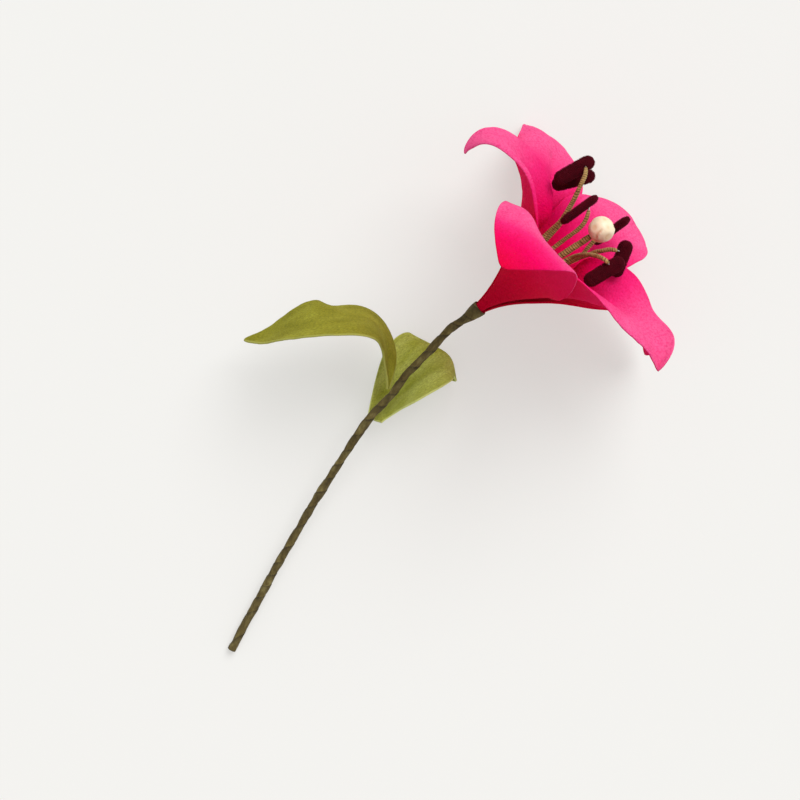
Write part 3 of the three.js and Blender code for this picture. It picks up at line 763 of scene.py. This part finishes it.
for number, (name, petal) in enumerate(petals.items()):
    inner = petal["ring"] == "inner"
    azimuth = math.radians(petal["azimuth"])
    out = math.cos(azimuth) * upward + math.sin(azimuth) * frontward
    seat = seat_at(bloom_base, axis, out, INNER_RING if inner else OUTER_RING, TANG)
    form = {"cut": inner_cut if inner else outer_cut, **petal}
    sheet_piece(name, seat, form, PETAL_SHEET, petal_material, 100 * (number + 1))

# Leaves

leaves = {
    "leaf_arching": {
        "stem_place": 66, "away": (-0.75, 0.45, 0.5), "stand_off": 3.0, "along": (0.1, 1, 0.2), "out": (-1, 0, 0),
        "cut": {"base": 0.2, "tip": 0.05, "widest": 0.5, "claw": 1.3, "point": 0.8}, "length": 110, "width": 35,
        "lean": [0, 13, 76, 98, 124, 92], "swing": [25, 36, 25, -19, -5], "roll": [-75, -38, -15, -30, -17],
        "fold": [56, 30, 12, 2, 0, 8], "near": [-20, -50, -19, 6, 15], "far": [20, -25, -28, 4, 8],
        "spread_near": [-2.4, -1.0, 0, 0, 0, 0, 0, 0], "spread_far": [-2.4, -1.0, 0, 0, 0, 0, 0, 0],
        "presses": [(0, 0, 13, (2.2, 0.6, 0)), (-12, 69, 9, (0, 1.7, 0)), (-9, 61, 7, (0, 1.0, 0))],
    },
    "leaf_cupped": {
        "stem_place": 83, "away": (0.55, -0.25, -0.8), "stand_off": 2.1, "along": (0.7, 0.7, 0.1), "out": (0, 0, -1),
        "cut": {"base": 0.2, "tip": 0.12, "widest": 0.6, "claw": 1.3, "point": 0.42}, "length": 67, "width": 44,
        "lean": [40, 10, -4, 16, 92, 185], "swing": [20, 0, -20, -24, -10], "roll": [-26, -25, -9, -3, -14],
        "fold": [22, 31, 27, 10, -15, -13], "near": [-13, -10, 2, -4, -3], "far": [2, 8, 6, -16, -16],
        "presses": [(9, 46, 11, (1.4, 1.8, 0)), (-2, 51, 11, (2.0, 1.2, 0)), (-17, 52, 7, (-2.0, 1.8, 0))],
        "spread_far": [0, 0, 0, 0, -0.8, -3.0, -4.6, -5.6, -5.6, -3.0, 0], "tip_round": 8.0,
    },
}

for number, (name, leaf) in enumerate(leaves.items()):
    origin = stem_path.at(leaf["stem_place"]) + unit(leaf["away"]) * (STEM_RADIUS + leaf["stand_off"])
    seat = seat_at(origin, leaf["along"], leaf["out"])
    form = dict(leaf, hug=(-1, 0.5))
    sheet_piece(name, seat, form, LEAF_SHEET, leaf_materials[name], 900 + 50 * number)

# Pistil

STYLE_RADIUS, STYLE_WIRE, PISTIL_REACH, PISTIL_DROOP, PEARL_RADIUS = 1.9, 0.45, 73.5, -4.2, 6.5
THREAD_START, WIRE_START = 18.0, 8.0
pistil_path = Path([in_bloom(0, 0, 0), in_bloom(PISTIL_REACH, PISTIL_DROOP, 0)])
style_end = pistil_path.length - PEARL_RADIUS - CLEARANCE


def wound(name, node, path, start, end, bore, radius, pitch, depth, sides, seed, taper=0.0):
    """A thread wound round a wire, each turn a round ridge, drawn in at its far end."""
    marks = np.linspace(start, end, max(8, int((end - start) / pitch * 7)))
    angle = spokes(sides)
    stray = 0.35 * waves(marks[:, None], seed, 11)[:, None] + 0.10 * waves(marks[:, None], seed + 2, 4)[:, None]
    lap = (marks[:, None] / pitch - angle[None] / (2 * np.pi) + stray) % 1
    crown = np.sqrt(np.clip(1 - (2 * lap - 1) ** 2, 0, 1))
    uneven = 0.06 * waves(on_tube(marks, angle, 2), seed + 1, 5)
    ends = np.clip(np.minimum(marks - start, end - marks) / 0.5, 0, 1)[:, None]
    r = radius - depth - 0.04 + depth * crown + uneven - 0.25 * (1 - ends) ** 2
    if taper:
        shrink = 1 - smooth((end - marks) / taper)[:, None]
        r = r + (bore + 0.16 - r) * 0.85 * shrink
    back = np.linspace(end, start, max(8, int((end - start) / 2)))
    rings = np.concatenate([path.rings(marks, r, sides), path.rings(back, np.full(len(back), bore), sides)])
    points, faces = looped(rings)
    cut = np.zeros((len(rings), sides, 3))
    cut[..., 0] = angle * radius
    cut[..., 1] = np.concatenate([marks, back])[:, None]
    # The third channel is each turn's crown, which places the painted shade in the grooves
    cut[: len(marks), :, 2] = crown
    add_mesh(name, points, faces, thread_material, node, {"cut": cut.reshape(-1, 3)})


wound(
    "pistil_winding", "pistil_thread", pistil_path, THREAD_START, style_end + 0.1,
    STYLE_WIRE + CLEARANCE, STYLE_RADIUS - 0.2, pitch=1.3, depth=0.32, sides=28, seed=41,
)


def build_pearl():
    """A bead tumbled to soft facets, with a lip down its front and a nub at its side."""
    sides, sharp = 72, 70.0
    bore = STYLE_WIRE + CLEARANCE
    hole = math.asin(bore / PEARL_RADIUS)
    polar = np.linspace(hole, math.pi - 0.02, 70)
    centre = pistil_path.at(pistil_path.length)
    rings = pistil_path.rings(pistil_path.length - PEARL_RADIUS * np.cos(polar), PEARL_RADIUS * np.sin(polar), sides)
    way = unit(rings - centre)
    facets = np.array([
        (0.50, -0.62, 0.60), (-0.60, 0.10, 0.79), (0.20, 0.75, 0.63), (0.95, 0.20, 0.20), (-0.80, 0.60, -0.05),
        (-0.35, -0.85, 0.25), (0.45, 0.10, 0.88), (0.60, -0.70, -0.40), (0.55, 0.75, -0.35), (-0.20, 0.40, -0.90),
        (0.10, -0.45, -0.90), (-0.90, -0.30, -0.30),
    ])
    # The distance to each facet's plane from the centre, as a share of the radius
    planes = np.array([0.93, 0.95, 0.96, 0.95, 0.95, 0.95, 0.97, 0.95, 0.95, 0.95, 0.95, 0.95])
    reach = planes / np.clip(way @ unit(facets).T, 0.5, 1)
    size = -np.log(np.exp(-sharp * reach).sum(-1) + math.exp(-sharp)) / sharp
    pale = smooth((size - 0.955) / 0.03)
    # The lip runs from the middle of the front to the foot of the bead, with a crease beside it
    start, finish = unit([0.06, -0.02, 1.0]), unit([-0.42, -0.72, 0.55])
    t = np.linspace(0, 1, 24)[:, None]
    arc = unit(start + (finish - start) * t + np.array([-0.30, 0.02, 0.0]) * np.sin(math.pi * t) * 0.5)
    angles = np.arccos(np.clip(way @ arc.T, -1, 1))
    off = angles.min(-1)
    along = angles.argmin(-1) / (len(arc) - 1)
    beside = (way - start) @ np.cross(finish - start, (start + finish) / 2) < 0
    strength = smooth(along * 3 + 0.2) * (off < 0.6)
    crease = np.exp(-((off / 0.10) ** 2)) * strength
    lip = np.exp(-(((off - 0.13) / 0.09) ** 2)) * strength * beside
    nub = np.exp(-((np.arccos(np.clip(way @ unit([0.97, 0.02, 0.22]), -1, 1)) / 0.16) ** 2))
    size = size - 0.06 * crease + 0.05 * lip + 0.06 * nub
    size = size + 0.008 * waves(way, 5, 0.9) + 0.004 * waves(way, 6, 0.35)
    # Round its bore the bead stays a plain sphere
    calm = smooth((polar - hole) / 0.3)[:, None]
    rings = centre + way * (PEARL_RADIUS * (1 + (size - 1) * calm))[..., None]
    mouth = pistil_path.rings([pistil_path.length + CLEARANCE], [bore], sides)
    points, faces = capped(np.concatenate([rings[::-1], mouth]))
    # The first channel places the painted highlight on raised edges and the lip, the second the painted shade in the
    # crease
    shape = np.zeros((len(points), 3))
    for column, value in enumerate((pale * 0.8 + lip, crease)):
        value = (np.clip(value, 0, 1) * calm)[::-1].ravel()
        shape[: len(value), column] = value
    add_mesh("pistil_bead", points, faces, pearl_material, "pistil_pearl", {"shape": shape})


build_pearl()

# Stamens

FILAMENT, FILAMENT_WIRE = 1.3, 0.4
ANTHER_LENGTH, ANTHER_RADIUS, ANTHER_FLATNESS = 23.0, 4.1, 0.66
PILE, TUFTS, TUFT_WIDTH, PIN_HOLE = 0.55, 2600, 0.13, 0.72
stamens = [
    {
        "bundle": 350, "lie": (0.87, 0.5, 0), "broad": (-0.5, 0.87, 0), "shift": -6.5,
        "route": [
            (34, 6.5, 1), (50.5, 10, 1.5), (59.5, 11, 1.5), (70, 15, 1.5), (78, 19, 1.5), (83, 22, 0), (85, 26.5, -7),
        ],
    },
    {
        "bundle": 290, "lie": (0.95, 0.25, 0), "broad": (-0.25, 0.95, 0), "shift": -4,
        "route": [
            (34, 5, -3.5), (49.5, 8.5, -5), (57.5, 10.5, -8.5), (67, 15, -11.5), (73.5, 19, -14), (77, 22.5, -15.5),
        ],
    },
    {
        "bundle": 50, "lie": (0.81, 0.59, 0), "broad": (0, 0, 1), "shift": -6.5,
        "route": [
            (34, 2, 3), (52, 2.5, 1.5), (61, 2.5, 2.5), (65, 2.5, 3), (69.5, 3.5, 3.5), (73, 5.5, 3), (77.5, 10, 1.5),
        ],
    },
    {
        "bundle": 110, "lie": (0.86, 0.52, 0), "broad": (-0.5, 0.86, 0), "shift": -4,
        "route": [
            (34, -4, 4), (53, -6.5, 2), (58.5, -8, 6), (62.5, -9.5, 11), (66.5, -12, 15.5), (69.5, -14.5, 19.5),
            (71.5, -18, 21.5), (71, -22, 18.5),
        ],
    },
    {
        "bundle": 170, "lie": (0.36, 0.93, 0.1), "broad": (1, -0.4, 0), "shift": -3.5, "long": 0.86,
        "route": [
            (34, -6, -1), (52, -8, -2), (59.5, -10, 1.5), (66, -11.5, 5), (69.5, -13, 7), (73, -14.5, 8),
            (75, -16.5, 7.5), (77, -19.5, 4.5),
        ],
    },
    {
        "bundle": 230, "lie": (0.8, 0.58, 0.2), "broad": (0, 0, 1), "shift": 0,
        "route": [
            (34, -4, -5), (49, -8, -7.5), (54, -9, -11), (59, -7.5, -14), (64, -6.5, -16), (69, -7, -20),
            (71, -7.5, -27),
        ],
    },
]
bundle_ring = STYLE_RADIUS + FILAMENT + 1.2 * CLEARANCE
wire_ring = STYLE_WIRE + FILAMENT_WIRE + CLEARANCE


def in_bundle(reach, ring, angle):
    droop = PISTIL_DROOP * reach / PISTIL_REACH
    return in_bloom(reach, droop + ring * math.cos(angle), ring * math.sin(angle))


def carve(obj, points, faces):
    """Takes a closed shape out of the piece."""
    tool = in_scene("tool", bpy.data.meshes.new("tool"))
    tool.data.from_pydata(laid(points).tolist(), [], faces)
    modifier = obj.modifiers.new("hole", "BOOLEAN")
    modifier.operation = "DIFFERENCE"
    modifier.solver = "EXACT"
    modifier.object = tool
    graph = bpy.context.evaluated_depsgraph_get()
    mesh = bpy.data.meshes.new_from_object(obj.evaluated_get(graph))
    obj.modifiers.clear()
    swap(obj, mesh)
    bpy.data.objects.remove(tool)


def swap(obj, mesh):
    """Gives the piece another mesh in place of its own."""
    old = obj.data
    obj.data = mesh
    bpy.data.meshes.remove(old)


def wire(name, node, path, end):
    """A bare wire with rounded ends."""
    marks = np.concatenate([[0, 0.05, 0.15], np.arange(0.5, end - 0.3, 0.8), end - np.array([0.15, 0.05, 0])])
    from_end = np.minimum(np.minimum(marks, end - marks) / 0.15, 1)
    radius = FILAMENT_WIRE * np.sqrt(1 - (1 - np.maximum(from_end, 0.05)) ** 2)
    points, faces = capped(path.rings(marks, radius, 14))
    add_mesh(name, points, faces, wire_material, node)


def tufts_on(skin, path, draw):
    """Thin three-sided tufts all over an anther's skin, none of them over the wire's hole."""
    p = np.arccos(1 - 2 * draw.uniform(0.004, 0.996, TUFTS))[:, None]
    a = draw.uniform(0, 2 * np.pi, TUFTS)[:, None]
    root = skin(p, a, PILE + 0.1)[:, 0]
    tip = skin(p, a, 0.04)[:, 0]
    line = path.at(path.length + np.linspace(-9, 9, 37))
    free = np.linalg.norm(root[:, None] - line[None], axis=-1).min(1) > 1.0
    root, tip = root[free], tip[free]
    lean = draw.normal(size=root.shape) * 0.16
    grow = unit(tip - root)
    lean -= (lean * grow).sum(1, keepdims=True) * grow
    length = np.linalg.norm(tip - root, axis=1, keepdims=True) * draw.uniform(0.55, 1.0, (len(root), 1))
    ends = root + grow * length + lean * np.minimum(length, 0.6)
    one = unit(np.cross(grow, draw.normal(size=grow.shape)))
    two = np.cross(grow, one)
    corners = [root + TUFT_WIDTH * (math.cos(k) * one + math.sin(k) * two) for k in (0.0, 2.094, 4.189)]
    points = np.stack([*corners, ends], axis=1).reshape(-1, 3)
    quad = np.arange(len(root))[:, None, None] * 4
    faces = (quad + np.array([[0, 1, 3], [1, 2, 3], [2, 0, 3], [2, 1, 0]])).reshape(-1, 3)
    return points, faces


def velvet(name, node, path, centre, lie, thin, long, seed):
    """An anther of velvet: a flattened core with a short pile standing all over it."""
    broad = np.cross(thin, lie)
    half_length = ANTHER_LENGTH * long / 2

    def skin(polar, angle, inset):
        """Straight sides between round ends, with a shallow furrow down both broad faces."""
        radius = ANTHER_RADIUS - inset
        along = (half_length - inset) * -np.cos(polar)
        end = np.clip((np.abs(along) - (half_length - ANTHER_RADIUS)) / radius, 0, 1)
        reach = radius * np.sqrt(np.clip(1 - end**2, 1e-4, 1)) * (0.93 + 0.07 * np.sin(polar))
        furrow = 0.10 * np.exp(-((np.cos(angle) / 0.28) ** 2)) * np.sin(polar) ** 2
        x = reach * np.cos(angle)
        y = reach * np.sin(angle) * (ANTHER_FLATNESS * ANTHER_RADIUS - inset) / radius * (1 - furrow)
        z = along * np.ones_like(angle)
        return centre + x[..., None] * broad + y[..., None] * thin + z[..., None] * lie

    polar, angle = np.linspace(0.05, math.pi - 0.05, 76)[:, None], spokes(48)[None]
    core = skin(polar, angle, PILE)
    way = unit(skin(polar, angle, PILE - 0.1) - core)
    uneven = 0.12 * waves(core, seed, 6) + 0.07 * waves(core, seed + 1, 1.8)
    points, faces = capped(core + way * np.minimum(uneven, 0.1)[..., None])
    body = add_mesh(name, points, faces, velvet_material, node)
    hole = Path([path.at(path.length + d) for d in (-9, 0, 9)])
    carve(body, *capped(hole.rings([0, hole.length], [PIN_HOLE, PIN_HOLE], 16)))
    tufts, tuft_faces = tufts_on(skin, path, np.random.default_rng(seed))
    shell = np.array([v.co[:] for v in body.data.vertices])
    faces = [list(face.vertices) for face in body.data.polygons] + (tuft_faces + len(shell)).tolist()
    mesh = bpy.data.meshes.new(name)
    mesh.from_pydata(np.concatenate([shell, laid(tufts)]).tolist(), [], faces)
    mesh.polygons.foreach_set("use_smooth", [True] * len(mesh.polygons))
    # The tufts' tips get 1 and the rest 0.35, which places the painted shade deep in the pile
    pile = np.full((len(mesh.vertices), 3), (0.35, 0, 0), np.float32)
    pile[len(shell) + 3 :: 4, 0] = 1.0
    mesh.attributes.new("pile", "FLOAT_VECTOR", "POINT").data.foreach_set("vector", pile.ravel())
    mesh.materials.append(velvet_material)
    swap(body, mesh)


for number, stamen in enumerate(stamens, 1):
    bundle = math.radians(stamen["bundle"])
    points = [in_bundle(WIRE_START, wire_ring, bundle), in_bundle(THREAD_START, bundle_ring, bundle)]
    start = float(np.linalg.norm(points[1] - points[0]))
    path = Path(points + [in_bloom(*p) for p in stamen["route"]])
    heading = path.heading(path.length)
    lie = unit(stamen["lie"])
    thin = unit(np.cross(lie, stamen["broad"]))
    # The thread ends where the wire goes into the anther
    slant = abs(float(heading @ lie))
    crossing = math.sqrt(1 - slant**2)
    flatness = min(1.0, abs(float(heading @ thin)) / crossing)
    depth = ANTHER_RADIUS / math.hypot(math.sqrt(1 - flatness**2), flatness / ANTHER_FLATNESS)
    prefix = f"stamen_{number}_"
    wound(
        prefix + "winding", prefix + "thread", path, start, path.length - depth / crossing - 0.35,
        FILAMENT_WIRE + CLEARANCE, FILAMENT - 0.15, pitch=1.15, depth=0.24, sides=22, seed=50 + 5 * number,
        taper=1.2 + 2.2 * slant,
    )
    centre = path.at(path.length) + lie * stamen["shift"]
    long = stamen.get("long", 1.0)
    velvet(prefix + "velvet", prefix + "anther", path, centre, lie, thin, long, 70 + 3 * number)
    wire(prefix + "pin", prefix + "wire", path, path.length + 0.5)

# Floor, light and camera

def seen_directly(tree):
    """1 where the camera looks straight, or by way of metal or glass, and 0 for the light's own rays."""
    rays = tree.nodes.new("ShaderNodeLightPath").outputs
    total = rays["Is Camera Ray"]
    for other in ("Is Glossy Ray", "Is Transmission Ray"):
        node = tree.nodes.new("ShaderNodeMath")
        node.operation = "MAXIMUM"
        tree.links.new(total, node.inputs[0])
        tree.links.new(rays[other], node.inputs[1])
        total = node.outputs[0]
    return total


def mix_shaders(tree, share, first, second, output):
    node = tree.nodes.new("ShaderNodeMixShader")
    for socket, source in zip(node.inputs, (share, first.outputs[0], second.outputs[0])):
        tree.links.new(source, socket)
    tree.links.new(node.outputs[0], tree.nodes[output].inputs["Surface"])


span = 6.0
floor_mesh = bpy.data.meshes.new("floor")
floor_mesh.from_pydata([(-span, -span, 0), (span, -span, 0), (span, span, 0), (-span, span, 0)], [], [(0, 1, 2, 3)])
floor = in_scene("floor", floor_mesh)
pale = Finish("floor_paper", Roughness=0.95, Specular_IOR_Level=0.1)
grain = pale.noise(pale.object_place(), 3.0, 2.0)
pale.to("Base Color", pale.ramp(grain, [(0.0, (0.90, 0.90, 0.885)), (1.0, (0.92, 0.92, 0.905))]))
# Seen directly, six tenths of it is the plain pale backdrop and the rest takes the shadow
glow = pale.add("ShaderNodeEmission")
glow.inputs["Color"].default_value = (0.82, 0.81, 0.78, 1)
backdrop = pale.math("MULTIPLY", seen_directly(pale.tree), 0.6)
mix_shaders(pale.tree, backdrop, pale.shader, glow, "Material Output")
floor_mesh.materials.append(pale.material)

key_way = Vector(settle @ unit((0.42, 0.62, 0.85)))
key_data = bpy.data.lights.new("key", "SUN")
key_data.energy = 2.35
key_data.angle = math.radians(42)
key = in_scene("key", key_data)
key.rotation_mode = "QUATERNION"
key.rotation_quaternion = key_way.to_track_quat("Z", "Y")
key.location = key_way * 2

world = bpy.data.worlds.new("studio")
bpy.context.scene.world = world
world.use_nodes = True
sky = world.node_tree.nodes["Background"]
sky.inputs["Color"].default_value = (1.0, 0.995, 0.985, 1)
sky.inputs["Strength"].default_value = 0.58
# Seen directly, the wall beyond the floor's edge is as pale as the floor
wall = world.node_tree.nodes.new("ShaderNodeBackground")
wall.inputs["Color"].default_value = (0.90, 0.895, 0.875, 1)
mix_shaders(world.node_tree, seen_directly(world.node_tree), sky, wall, "World Output")

camera_data = bpy.data.cameras.new("camera")
camera_data.lens = 103.5
camera_data.sensor_width = 36
camera_data.clip_end = 50
camera = in_scene("camera", camera_data)
place = Matrix.Translation(Vector(laid([-40.355, -46.37, 1200.0])))
camera.matrix_world = place @ SETTLE.to_matrix().to_4x4()
bpy.context.scene.camera = camera
bpy.context.scene.view_settings.view_transform = "Standard"
